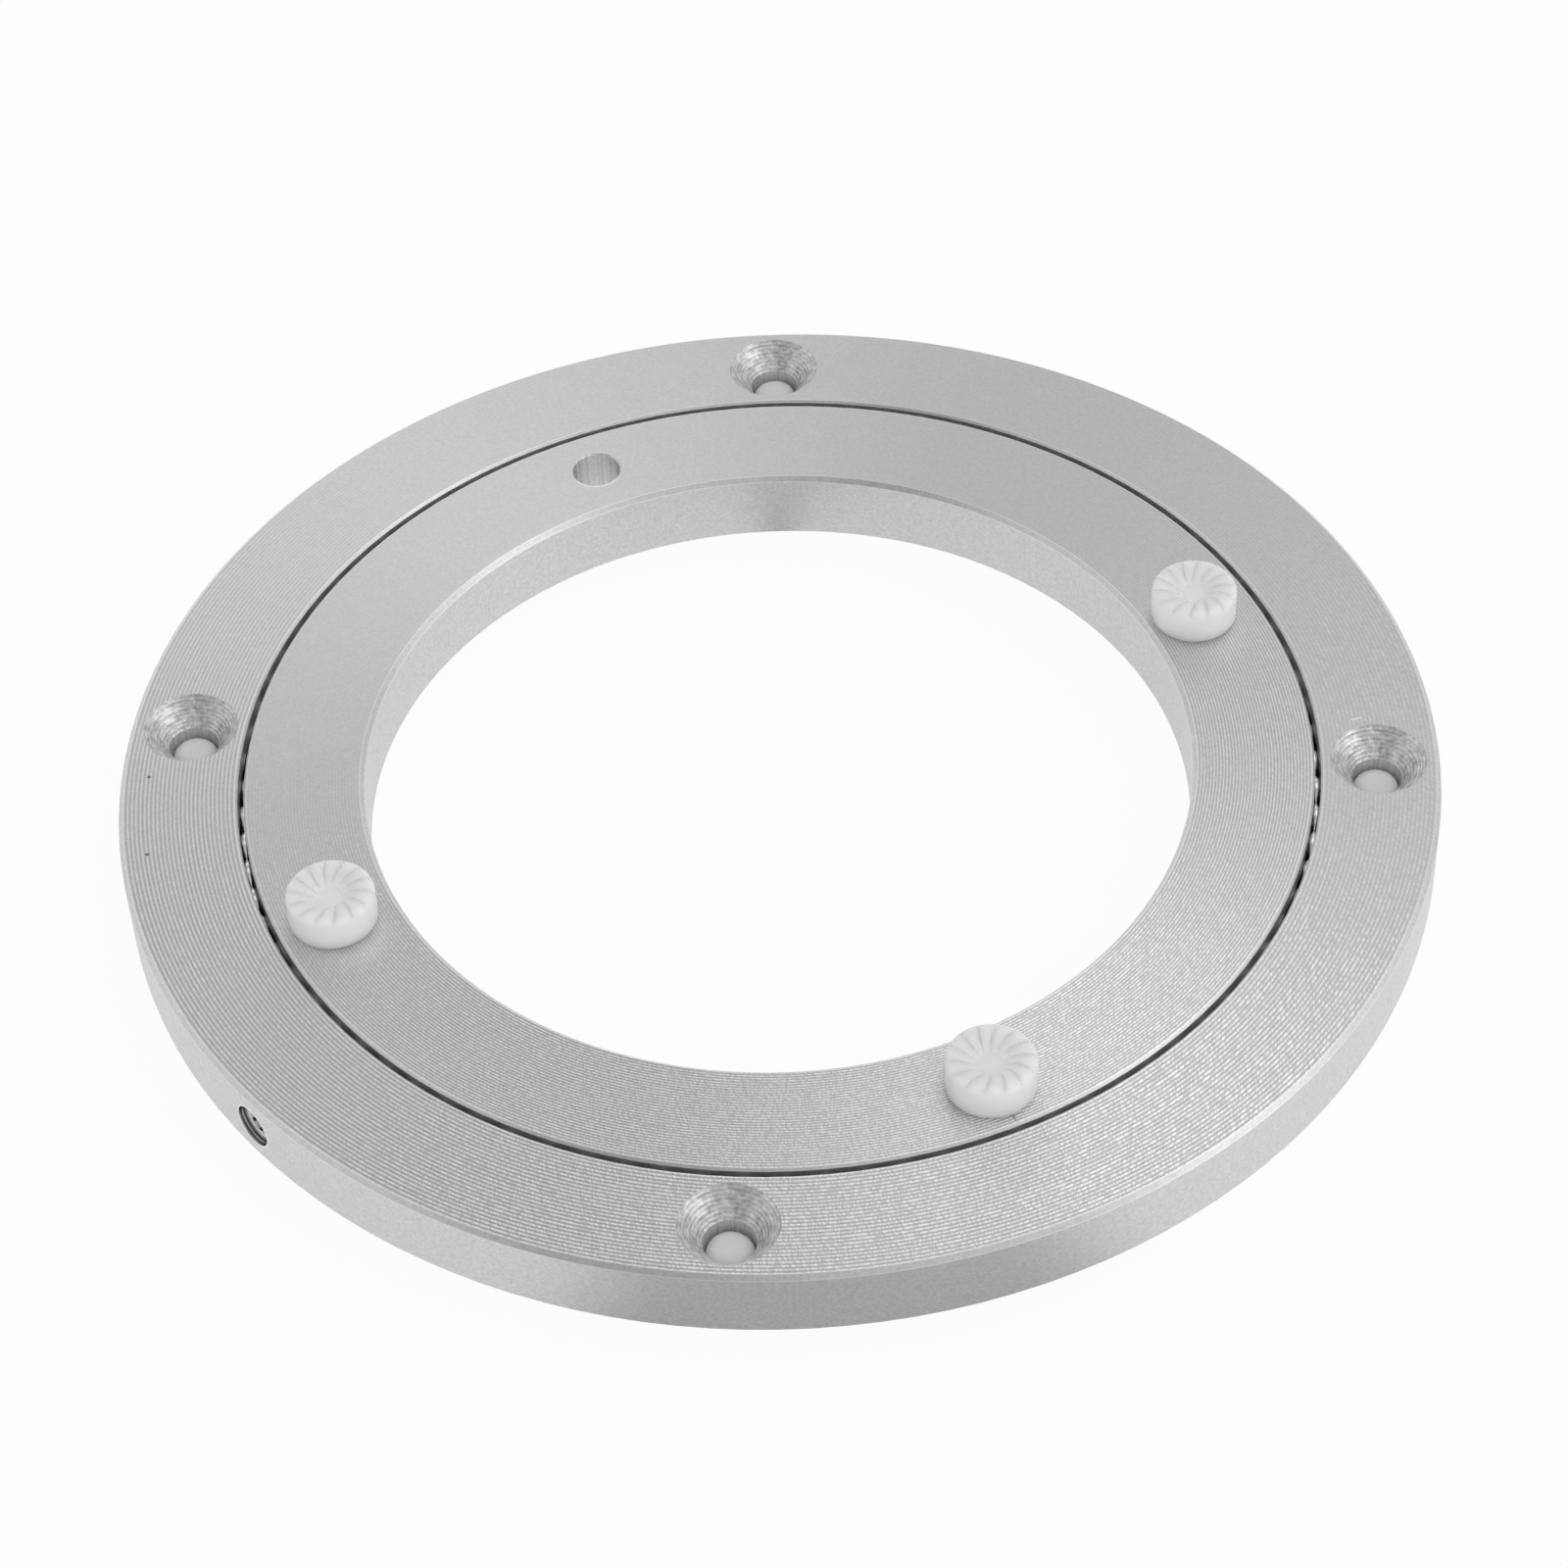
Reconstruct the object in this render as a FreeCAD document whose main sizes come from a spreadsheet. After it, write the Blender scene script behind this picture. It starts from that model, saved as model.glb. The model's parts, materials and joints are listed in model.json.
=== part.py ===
# Lazy susan bearing: two turned aluminium rings that run on steel balls in the race between them.
# The outer ring stands on four feet and the inner ring carries three pads for the turning top.
# +Z is up and the origin is on the axis, level with the soles of the feet.
# Lengths are in millimetres and angles in degrees, counted from +X towards +Y.
import FreeCAD, Part
import Sketcher
import os
import math

SIZES = {
    # The two rings
    "race_diameter": 114.25,
    "ring_gap": 0.65,
    "outer_ring_width": 12.55,
    "inner_ring_width": 12.8,
    "ring_thickness": 8.5,
    "edge_chamfer": 0.5,
    "gap_chamfer": 0.25,
    # The balls and the groove that they run in
    "ball_diameter": 4.0,
    "ball_clearance": 0.15,
    "ball_spacing": 0.05,
    "first_ball_angle": 2.43,
    # The screw holes that the feet and pads are pushed into
    "hole_diameter": 5.4,
    "countersink_diameter": 10.2,
    "countersink_angle": 82.0,
    "hole_deburr": 0.12,
    # Where each hole was drilled: how far from the middle of its ring's width, and at what angle
    "outer_hole_offset": -0.22,
    "outer_right_angle": -4.5,
    "outer_back_angle": 88.5,
    "outer_left_angle": 172.5,
    "outer_front_angle": -96.2,
    "inner_right_offset": -0.75,
    "inner_right_angle": 21.7,
    "inner_back_offset": 0.32,
    "inner_back_angle": 112.1,
    "inner_left_offset": 0.4,
    "inner_left_angle": -156.0,
    "inner_front_offset": 0.7,
    "inner_front_angle": -67.6,
    # The stems of the feet and pads
    "stem_clearance": 0.05,
    "stem_taper": 0.3,
    "stem_length": 5.1,
    "stem_tip_fillet": 1.2,
    # The pads on the inner ring
    "pad_diameter": 9.24,
    "pad_height": 4.2,
    "pad_rim_fillet": 0.75,
    "pad_base_fillet": 0.5,
    "dimple_radius": 3.4,
    "dimple_floor_radius": 1.2,
    "dimple_flank_radius": 3.6,
    "dimple_depth": 1.05,
    "swirl_count": 14,
    "swirl_width": 0.24,
    "swirl_rim_depth": 0.42,
    "swirl_inner_radius": 1.0,
    "swirl_bend_radius": 6.5,
    "pad_right_turn": 24.9,
    "pad_left_turn": 19.6,
    "pad_front_turn": 24.7,
    # The feet under the outer ring
    "foot_diameter": 9.2,
    "foot_height": 2.0,
    "foot_sole_fillet": 0.5,
    "foot_base_fillet": 0.2,
    # The hole that the balls were loaded through and the grub screw that closes it
    "ball_passage_diameter": 4.2,
    "plug_angle": -140.55,
    "plug_hole_diameter": 4.7,
    "plug_clearance": 0.03,
    "plug_recess": 0.8,
    "plug_end_clearance": 0.15,
    "plug_chamfer": 0.35,
    "plug_socket_width": 2.5,
    "plug_socket_depth": 2.2,
}

UP = FreeCAD.Vector(0, 0, 1)
SIDEWAYS = FreeCAD.Vector(1, 0, 0)
# The direction of +Z as a sketch on the YZ plane sees it
UPRIGHT = FreeCAD.Vector(0, 1, 0)

# Sizes that follow from the driving ones, as expressions
MID_HEIGHT = "(Sizes.ring_thickness / 2)"
RING_TOP = "(Sizes.foot_height + Sizes.ring_thickness)"
RACE_RADIUS = "(Sizes.race_diameter / 2)"
GAP_OUTER_RADIUS = f"({RACE_RADIUS} + Sizes.ring_gap / 2)"
GAP_INNER_RADIUS = f"({RACE_RADIUS} - Sizes.ring_gap / 2)"
OUTER_RADIUS = f"({GAP_OUTER_RADIUS} + Sizes.outer_ring_width)"
BORE_RADIUS = f"({GAP_INNER_RADIUS} - Sizes.inner_ring_width)"
GROOVE_RADIUS = "(Sizes.ball_diameter / 2 + Sizes.ball_clearance)"
HOLE_RADIUS = "(Sizes.hole_diameter / 2)"
OUTER_RING_MIDDLE = f"({GAP_OUTER_RADIUS} + Sizes.outer_ring_width / 2)"
INNER_RING_MIDDLE = f"({GAP_INNER_RADIUS} - Sizes.inner_ring_width / 2)"
STEM_ROOT_RADIUS = f"({HOLE_RADIUS} - Sizes.stem_clearance)"
STEM_TIP_RADIUS = f"({STEM_ROOT_RADIUS} - Sizes.stem_taper)"
PAD_RADIUS = "(Sizes.pad_diameter / 2)"
DIMPLE_FLOOR = "(Sizes.pad_height - Sizes.dimple_depth)"
PLUG_RADIUS = "(Sizes.plug_hole_diameter / 2 - Sizes.plug_clearance)"
PLUG_START = f"({RACE_RADIUS} + {GROOVE_RADIUS} + Sizes.plug_end_clearance)"
PLUG_LENGTH = f"({OUTER_RADIUS} - Sizes.plug_recess - {PLUG_START})"


def hole_place(ring, side):
    """The distance from the axis and the angle of one ring's hole on one side."""
    if ring == "outer":
        return f"({OUTER_RING_MIDDLE} + Sizes.outer_hole_offset)", f"Sizes.outer_{side}_angle"
    return f"({INNER_RING_MIDDLE} + Sizes.inner_{side}_offset)", f"Sizes.inner_{side}_angle"


def add_sheet(doc):
    """The spreadsheet that holds every driving size under its own name."""
    sheet = doc.addObject("Spreadsheet::Sheet", "Sizes")
    for row, (name, size) in enumerate(SIZES.items(), start=1):
        sheet.set(f"A{row}", name)
        sheet.set(f"B{row}", str(size))
        sheet.setAlias(f"B{row}", name)
    doc.recompute()
    return sheet


def add_body(doc, name):
    """An empty body for one piece, whose label names the piece."""
    body = doc.addObject("PartDesign::Body", name)
    body.Label = name
    return body


def place(piece, x="0", y="0", z="0", turn="0"):
    """Set a piece's place, with its turn about the rotation axis that it already has."""
    piece.setExpression("Placement.Base.x", x)
    piece.setExpression("Placement.Base.y", y)
    piece.setExpression("Placement.Base.z", z)
    piece.setExpression("Placement.Rotation.Angle", turn)


def origin_feature(body, role):
    """One plane or axis of the body's origin, by its role."""
    return next(feature for feature in body.Origin.OriginFeatures if feature.Role == role)


def attach(feature, body, role, offset="0"):
    """Attach a sketch or a primitive to one origin plane of its body, moved along the plane's normal."""
    feature.AttachmentSupport = [(origin_feature(body, role), "")]
    feature.MapMode = "FlatFace"
    feature.setExpression("AttachmentOffset.Base.z", offset)


def add_sketch(body, name, role, offset="0"):
    """A sketch on one origin plane of its body."""
    sketch = body.newObject("Sketcher::SketchObject", name)
    attach(sketch, body, role, offset)
    return sketch


def add_radial_sketch(body, name, distance, angle, height):
    """An upright sketch at a distance and angle from the body's Z axis, facing away from the axis."""
    sketch = add_sketch(body, name, "YZ_Plane", f"{distance} * cos({angle})")
    sketch.AttachmentOffset = FreeCAD.Placement(FreeCAD.Vector(), FreeCAD.Rotation(UPRIGHT, 1))
    sketch.setExpression("AttachmentOffset.Base.x", f"{distance} * sin({angle})")
    sketch.setExpression("AttachmentOffset.Base.y", height)
    sketch.setExpression("AttachmentOffset.Rotation.Angle", angle)
    return sketch


def evaluated(sketch, expression):
    """The present value of an expression, as a number."""
    result = sketch.evalExpression(expression)
    return float(getattr(result, "Value", result))


def constrain(sketch, expression, kind, *elements):
    """Add one sized constraint, bound to an expression."""
    size = evaluated(sketch, expression)
    if kind == "Angle":
        size = math.radians(size)
    index = sketch.addConstraint(Sketcher.Constraint(kind, *elements, size))
    sketch.setExpression(f"Constraints[{index}]", expression)


def fix_point(sketch, element, end, x, y):
    """Hold one point of a sketch element at x and y from the sketch's origin."""
    constrain(sketch, x, "DistanceX", -1, 1, element, end)
    constrain(sketch, y, "DistanceY", -1, 1, element, end)


def corner_points(sketch, corners):
    """The present places of corners given as pairs of expressions."""
    return [FreeCAD.Vector(evaluated(sketch, x), evaluated(sketch, y), 0) for x, y in corners]


def add_lines(sketch, points, corners):
    """A run of joined straight lines through points, each line's start held at its own corner."""
    lines = []
    for start, end in zip(points, points[1:]):
        lines.append(sketch.addGeometry(Part.LineSegment(start, end), False))
    for line, following in zip(lines, lines[1:]):
        sketch.addConstraint(Sketcher.Constraint("Coincident", line, 2, following, 1))
    for line, (x, y) in zip(lines, corners):
        fix_point(sketch, line, 1, x, y)
    return lines


def add_outline(sketch, corners):
    """A closed outline of straight lines through corners given as pairs of expressions."""
    points = corner_points(sketch, corners)
    lines = add_lines(sketch, points + points[:1], corners)
    sketch.addConstraint(Sketcher.Constraint("Coincident", lines[-1], 2, lines[0], 1))


def add_bulge(sketch, radius, start_line, end_line):
    """An arc that closes an outline, bulging upwards from one line's start back to another line's end."""
    start = sketch.getPoint(start_line, 1)
    end = sketch.getPoint(end_line, 2)
    size = evaluated(sketch, radius)
    chord = end - start
    towards_centre = FreeCAD.Vector(-chord.y, chord.x, 0) / chord.Length
    centre = (start + end) / 2 + towards_centre * math.sqrt(size ** 2 - (chord.Length / 2) ** 2)
    ends = [math.atan2(point.y - centre.y, point.x - centre.x) for point in (start, end)]
    arc = sketch.addGeometry(Part.ArcOfCircle(Part.Circle(centre, UP, size), *ends), False)
    sketch.addConstraint(Sketcher.Constraint("Coincident", arc, 1, start_line, 1))
    sketch.addConstraint(Sketcher.Constraint("Coincident", arc, 2, end_line, 2))
    constrain(sketch, radius, "Radius", arc)


def add_circle(sketch, radius, distance="0", angle="0"):
    """A circle whose centre lies at a distance and an angle from the sketch's origin."""
    reach = evaluated(sketch, distance)
    heading = math.radians(evaluated(sketch, angle))
    centre = FreeCAD.Vector(reach * math.cos(heading), reach * math.sin(heading), 0)
    circle = sketch.addGeometry(Part.Circle(centre, UP, evaluated(sketch, radius)), False)
    constrain(sketch, radius, "Radius", circle)
    if reach == 0:
        sketch.addConstraint(Sketcher.Constraint("Coincident", circle, 3, -1, 1))
        return
    spoke = sketch.addGeometry(Part.LineSegment(FreeCAD.Vector(0, 0, 0), centre), True)
    sketch.addConstraint(Sketcher.Constraint("Coincident", spoke, 1, -1, 1))
    sketch.addConstraint(Sketcher.Constraint("Coincident", circle, 3, spoke, 2))
    constrain(sketch, distance, "Distance", spoke)
    constrain(sketch, angle, "Angle", spoke)


def turn_about_axis(body, name, kind, sketch):
    """A full turn of a sketch about the body's Z axis, which adds a Revolution or cuts a Groove."""
    feature = body.newObject(f"PartDesign::{kind}", name)
    feature.Profile = sketch
    feature.ReferenceAxis = (sketch, ["V_Axis"])
    feature.Angle = 360


def add_revolution(body, name, corners):
    """A solid turned about the body's Z axis, from an outline of radii and heights."""
    sketch = add_sketch(body, f"{name}_outline", "XZ_Plane")
    add_outline(sketch, corners)
    turn_about_axis(body, name, "Revolution", sketch)


def circle_edges(feature, radius, height):
    """The names of a feature's round edges of one radius at one height."""
    names = []
    for number, edge in enumerate(feature.Shape.Edges, start=1):
        if edge.Curve.TypeId != "Part::GeomCircle":
            continue
        right_radius = math.isclose(edge.Curve.Radius, radius, abs_tol=1e-6)
        right_height = math.isclose(edge.Curve.Center.z, height, abs_tol=1e-6)
        if right_radius and right_height:
            names.append(f"Edge{number}")
    return names


def soften(body, name, kind, size, radius, height):
    """Fillet or chamfer the round edges of one radius and height on the body's last feature."""
    body.Document.recompute()
    base = body.Tip
    edges = circle_edges(base, evaluated(base, radius), evaluated(base, height))
    feature = body.newObject(f"PartDesign::{kind}", name)
    feature.Base = (base, edges)
    feature.setExpression("Size" if kind == "Chamfer" else "Radius", size)


def add_ring(doc, name, inner_radius, inner_chamfer, outer_radius, outer_chamfer):
    """A flat turned ring with chamfered edges, its underside at the body's origin."""
    body = add_body(doc, name)
    top = "Sizes.ring_thickness"
    add_revolution(body, f"{name}_blank", [
        (f"{inner_radius} + {inner_chamfer}", "0"),
        (f"{outer_radius} - {outer_chamfer}", "0"),
        (outer_radius, outer_chamfer),
        (outer_radius, f"{top} - {outer_chamfer}"),
        (f"{outer_radius} - {outer_chamfer}", top),
        (f"{inner_radius} + {inner_chamfer}", top),
        (inner_radius, f"{top} - {inner_chamfer}"),
        (inner_radius, inner_chamfer),
    ])
    place(body, z="Sizes.foot_height")
    return body


def cut_raceway(body, first_angle):
    """The groove at mid height in which the balls run: half a circle, turned about the body's Z axis."""
    sketch = add_sketch(body, f"{body.Name}_raceway_outline", "XZ_Plane")
    centre = FreeCAD.Vector(evaluated(sketch, RACE_RADIUS), evaluated(sketch, MID_HEIGHT), 0)
    circle = Part.Circle(centre, UP, evaluated(sketch, GROOVE_RADIUS))
    start = math.radians(first_angle)
    arc = sketch.addGeometry(Part.ArcOfCircle(circle, start, start + math.pi), False)
    closing_line = Part.LineSegment(sketch.getPoint(arc, 2), sketch.getPoint(arc, 1))
    line = sketch.addGeometry(closing_line, False)
    sketch.addConstraint(Sketcher.Constraint("Coincident", arc, 2, line, 1))
    sketch.addConstraint(Sketcher.Constraint("Coincident", line, 2, arc, 1))
    sketch.addConstraint(Sketcher.Constraint("Vertical", line))
    sketch.addConstraint(Sketcher.Constraint("PointOnObject", arc, 3, line))
    fix_point(sketch, arc, 3, RACE_RADIUS, MID_HEIGHT)
    constrain(sketch, GROOVE_RADIUS, "Radius", arc)
    turn_about_axis(body, f"{body.Name}_raceway", "Groove", sketch)


def start_hole(body, name, sketch, mouth):
    """A hole feature on a sketch of circles, with one kind of mouth and ready for its sizes."""
    body.Document.recompute()
    hole = body.newObject("PartDesign::Hole", name)
    hole.Profile = sketch
    body.Document.recompute()
    hole.ThreadType = "None"
    hole.HoleCutType = mouth
    hole.HoleCutCustomValues = True
    hole.DrillPoint = "Flat"
    return hole


def drill_screw_holes(body, ring, from_below):
    """Four countersunk screw holes, at the uneven places where they were drilled."""
    face_height = "0" if from_below else "Sizes.ring_thickness"
    sketch = add_sketch(body, f"{body.Name}_hole_centres", "XY_Plane", face_height)
    for side in ("right", "back", "left", "front"):
        distance, angle = hole_place(ring, side)
        add_circle(sketch, HOLE_RADIUS, distance, angle)
    holes = start_hole(body, f"{body.Name}_holes", sketch, "Countersink")
    holes.Reversed = from_below
    holes.DepthType = "ThroughAll"
    holes.setExpression("Diameter", "Sizes.hole_diameter")
    holes.setExpression("HoleCutDiameter", "Sizes.countersink_diameter")
    holes.setExpression("HoleCutCountersinkAngle", "Sizes.countersink_angle")


def drill_plug_hole(body):
    """The radial hole from the outer ring's side into the race, wider where the plug screws in."""
    sketch = add_radial_sketch(body, "plug_hole_centre", OUTER_RADIUS, "Sizes.plug_angle", MID_HEIGHT)
    add_circle(sketch, "Sizes.ball_passage_diameter / 2")
    hole = start_hole(body, "plug_hole", sketch, "Counterbore")
    hole.DepthType = "Dimension"
    hole.setExpression("Depth", f"{OUTER_RADIUS} - {RACE_RADIUS}")
    hole.setExpression("Diameter", "Sizes.ball_passage_diameter")
    hole.setExpression("HoleCutDiameter", "Sizes.plug_hole_diameter")
    hole.setExpression("HoleCutDepth", f"{OUTER_RADIUS} - {PLUG_START}")


def build_outer_ring(doc):
    """The standing ring, with its screw holes countersunk from above."""
    body = add_ring(doc, "outer_ring", GAP_OUTER_RADIUS, "Sizes.gap_chamfer",
                    OUTER_RADIUS, "Sizes.edge_chamfer")
    cut_raceway(body, first_angle=-90)
    drill_screw_holes(body, "outer", from_below=False)
    drill_plug_hole(body)
    return body


def build_inner_ring(doc):
    """The turning ring, with its screw holes countersunk from below and deburred above."""
    body = add_ring(doc, "inner_ring", BORE_RADIUS, "Sizes.edge_chamfer",
                    GAP_INNER_RADIUS, "Sizes.gap_chamfer")
    cut_raceway(body, first_angle=90)
    drill_screw_holes(body, "inner", from_below=True)
    soften(body, "inner_ring_deburr", "Chamfer", "Sizes.hole_deburr", HOLE_RADIUS, "Sizes.ring_thickness")
    return body


def add_button(doc, name, diameter, height, base_fillet, rim_fillet):
    """A moulded head with a tapered, round-ended stem below it, the stem's root at the body's origin."""
    body = add_body(doc, name)
    radius = f"({diameter} / 2)"
    stem_end = "-Sizes.stem_length"
    add_revolution(body, f"{name}_blank", [
        ("0", stem_end),
        (STEM_TIP_RADIUS, stem_end),
        (STEM_ROOT_RADIUS, "0"),
        (radius, "0"),
        (radius, height),
        ("0", height),
    ])
    soften(body, f"{name}_tip", "Fillet", "Sizes.stem_tip_fillet", STEM_TIP_RADIUS, stem_end)
    soften(body, f"{name}_base", "Fillet", base_fillet, radius, "0")
    soften(body, f"{name}_rim", "Fillet", rim_fillet, radius, height)
    return body


def cut_dimple(body):
    """The hollow in a pad's top: a flat floor whose flank swells up and out towards the rim."""
    sketch = add_sketch(body, f"{body.Name}_dimple_outline", "XZ_Plane")
    corners = [
        ("Sizes.dimple_radius", "Sizes.pad_height"),
        ("0", "Sizes.pad_height"),
        ("0", DIMPLE_FLOOR),
        ("Sizes.dimple_floor_radius", DIMPLE_FLOOR),
    ]
    lines = add_lines(sketch, corner_points(sketch, corners), corners)
    fix_point(sketch, lines[-1], 2, *corners[-1])
    add_bulge(sketch, "Sizes.dimple_flank_radius", lines[0], lines[-1])
    turn_about_axis(body, f"{body.Name}_dimple", "Groove", sketch)


def bend_angle(distance):
    """Where a swirl groove is at a distance from the pad's axis, as an angle about its centre of bend."""
    double_bend = "(2 * Sizes.swirl_bend_radius)"
    return f"90 deg + asin({PAD_RADIUS} / {double_bend}) - 2 * asin({distance} / {double_bend})"


def draw_swirl_groove(sketch):
    """One curved groove whose middle line is an arc from beyond the pad's rim towards its axis."""
    centre_x = f"{PAD_RADIUS} / 2"
    centre_y = f"-sqrt(Sizes.swirl_bend_radius ^ 2 - ({PAD_RADIUS} / 2) ^ 2)"
    centre = FreeCAD.Vector(evaluated(sketch, centre_x), evaluated(sketch, centre_y), 0)
    ends = [bend_angle(f"({PAD_RADIUS} + Sizes.swirl_width)"), bend_angle("Sizes.swirl_inner_radius")]
    angles = [math.radians(evaluated(sketch, end)) for end in ends]
    arcs = []
    for side in ("+", "-"):
        radius = f"Sizes.swirl_bend_radius {side} Sizes.swirl_width / 2"
        circle = Part.Circle(centre, UP, evaluated(sketch, radius))
        arc = sketch.addGeometry(Part.ArcOfCircle(circle, *angles), False)
        constrain(sketch, radius, "Radius", arc)
        arcs.append(arc)
    outer_arc, inner_arc = arcs
    fix_point(sketch, outer_arc, 3, centre_x, centre_y)
    sketch.addConstraint(Sketcher.Constraint("Coincident", inner_arc, 3, outer_arc, 3))
    for end, angle in zip((1, 2), ends):
        start_point = sketch.getPoint(inner_arc, end)
        end_point = sketch.getPoint(outer_arc, end)
        line = sketch.addGeometry(Part.LineSegment(start_point, end_point), False)
        sketch.addConstraint(Sketcher.Constraint("Coincident", line, 1, inner_arc, end))
        sketch.addConstraint(Sketcher.Constraint("Coincident", line, 2, outer_arc, end))
        sketch.addConstraint(Sketcher.Constraint("PointOnObject", outer_arc, 3, line))
        constrain(sketch, angle, "Angle", line)


def cut_swirl(body):
    """Curved grooves all round a pad's top, notching the rim and running out on the dimple's flank."""
    sketch = add_sketch(body, f"{body.Name}_groove_outline", "XY_Plane", DIMPLE_FLOOR)
    sketch.AttachmentOffset = FreeCAD.Placement(FreeCAD.Vector(), FreeCAD.Rotation(-UPRIGHT, 1))
    floor_rise = "(Sizes.dimple_depth - Sizes.swirl_rim_depth)"
    sketch.setExpression("AttachmentOffset.Rotation.Angle", f"atan({floor_rise} / {PAD_RADIUS})")
    draw_swirl_groove(sketch)
    groove = body.newObject("PartDesign::Pocket", f"{body.Name}_groove")
    groove.Profile = sketch
    groove.Type = "ThroughAll"
    groove.Reversed = True
    body.Document.recompute()
    swirl = body.newObject("PartDesign::PolarPattern", f"{body.Name}_swirl")
    swirl.Originals = [groove]
    swirl.Axis = (origin_feature(body, "Z_Axis"), [""])
    swirl.Angle = 360
    swirl.setExpression("Occurrences", "Sizes.swirl_count")
    body.Tip = swirl


def build_pad_moulding(doc):
    """A white pad as it leaves its mould: a dimpled button with a swirl of grooves in its top."""
    body = add_button(doc, "pad_moulding", "Sizes.pad_diameter", "Sizes.pad_height",
                      "Sizes.pad_base_fillet", "Sizes.pad_rim_fillet")
    cut_dimple(body)
    cut_swirl(body)
    return body


def build_foot_moulding(doc):
    """A foot as it leaves its mould: a plain button."""
    return add_button(doc, "foot_moulding", "Sizes.foot_diameter", "Sizes.foot_height",
                      "Sizes.foot_base_fillet", "Sizes.foot_sole_fillet")


def press_in(doc, moulding, name, hole, height, axis, turn):
    """A copy of a moulding, turned about an axis and with its stem pushed into one hole."""
    button = doc.addObject("Part::Compound", name)
    button.Label = name
    button.Links = [moulding]
    button.Placement = FreeCAD.Placement(FreeCAD.Vector(), FreeCAD.Rotation(axis, 1))
    distance, angle = hole
    place(button, f"{distance} * cos({angle})", f"{distance} * sin({angle})", height, turn)
    return button


def build_pads(doc):
    """The three pads, upright on the inner ring, each turned as it happened to go in."""
    moulding = build_pad_moulding(doc)
    pads = []
    for side in ("right", "left", "front"):
        turn = f"Sizes.pad_{side}_turn"
        pads.append(press_in(doc, moulding, f"top_pad_{side}", hole_place("inner", side), RING_TOP, UP, turn))
    return pads


def build_feet(doc):
    """The four feet, upside down under the outer ring."""
    moulding = build_foot_moulding(doc)
    feet = []
    for side in ("right", "back", "left", "front"):
        hole = hole_place("outer", side)
        feet.append(press_in(doc, moulding, f"foot_{side}", hole, "Sizes.foot_height", SIDEWAYS, "180"))
    return feet


def build_plug(doc):
    """The grub screw with a hexagon socket that closes the loading hole, its axis along the body's +X."""
    body = add_body(doc, "loading_plug")
    sketch = add_sketch(body, "plug_circle", "YZ_Plane", PLUG_START)
    add_circle(sketch, PLUG_RADIUS)
    shank = body.newObject("PartDesign::Pad", "plug_shank")
    shank.Profile = sketch
    shank.setExpression("Length", PLUG_LENGTH)
    doc.recompute()
    chamfer = body.newObject("PartDesign::Chamfer", "plug_ends")
    chamfer.Base = (shank, [f"Edge{number}" for number, edge in enumerate(shank.Shape.Edges, start=1)
                            if edge.Curve.TypeId == "Part::GeomCircle"])
    chamfer.setExpression("Size", "Sizes.plug_chamfer")
    socket = body.newObject("PartDesign::SubtractivePrism", "plug_socket")
    attach(socket, body, "YZ_Plane", f"{PLUG_START} + {PLUG_LENGTH} - Sizes.plug_socket_depth")
    socket.setExpression("Circumradius", "Sizes.plug_socket_width / 2 / cos(30)")
    socket.setExpression("Height", "Sizes.plug_socket_depth")
    place(body, z=f"Sizes.foot_height + {MID_HEIGHT}", turn="Sizes.plug_angle")
    return body


def build_ball_pairs(doc, sheet):
    """As many balls as fit round the race, in pairs that face each other across the axis."""
    room = math.pi * sheet.get("race_diameter")
    ball_pitch = sheet.get("ball_diameter") + sheet.get("ball_spacing")
    pair_count = int(room / ball_pitch / 2)
    pairs = []
    for index in range(pair_count):
        name = f"ball_pair_{index + 1:02d}"
        balls = []
        for half, sign in (("near", ""), ("far", "-")):
            ball = doc.addObject("Part::Sphere", f"{name}_{half}")
            ball.setExpression("Radius", "Sizes.ball_diameter / 2")
            ball.setExpression("Placement.Base.x", f"{sign}{RACE_RADIUS}")
            balls.append(ball)
        pair = doc.addObject("Part::Compound", name)
        pair.Label = name
        pair.Links = balls
        turn = f"Sizes.first_ball_angle + {index} * 180 / {pair_count}"
        place(pair, z=f"Sizes.foot_height + {MID_HEIGHT}", turn=turn)
        pairs.append(pair)
    return pairs


def check_model(doc, parts):
    """Stop if any object failed, any cut removed nothing or any piece is not a sound solid."""
    for item in doc.Objects:
        if "Invalid" in item.State or "Error" in item.State:
            raise RuntimeError(f"{item.Name} failed: {item.State}")
        cuts = ("Subtractive", "Groove", "Hole", "Pocket", "Fillet", "Chamfer", "PolarPattern")
        if any(word in item.TypeId for word in cuts) and item.BaseFeature:
            if item.Shape.Volume >= item.BaseFeature.Shape.Volume:
                raise RuntimeError(f"{item.Name} removed nothing")
    for part in parts:
        if part.Shape.isNull() or not part.Shape.isValid() or not part.Shape.Solids:
            raise RuntimeError(f"{part.Label} is not a sound solid")


def main():
    doc = FreeCAD.newDocument("LazySusanBearing")
    sheet = add_sheet(doc)
    parts = [build_outer_ring(doc), build_inner_ring(doc), build_plug(doc)]
    parts += build_pads(doc)
    parts += build_feet(doc)
    parts += build_ball_pairs(doc, sheet)
    doc.recompute()
    check_model(doc, parts)
    os.makedirs("parts", exist_ok=True)
    for part in parts:
        part.Shape.exportStep(f"parts/{part.Label}.step")
        print(part.Label, len(part.Shape.Solids), round(part.Shape.Volume, 2))


main()
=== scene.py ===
# Looks for the lazy susan bearing: turned aluminium rings, steel balls, a steel plug and white pads.
# Lengths are in metres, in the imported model's own frame: +Z up, the origin on the axis at the floor.
import json
import math
import bpy
from mathutils import Matrix, Vector


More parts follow.
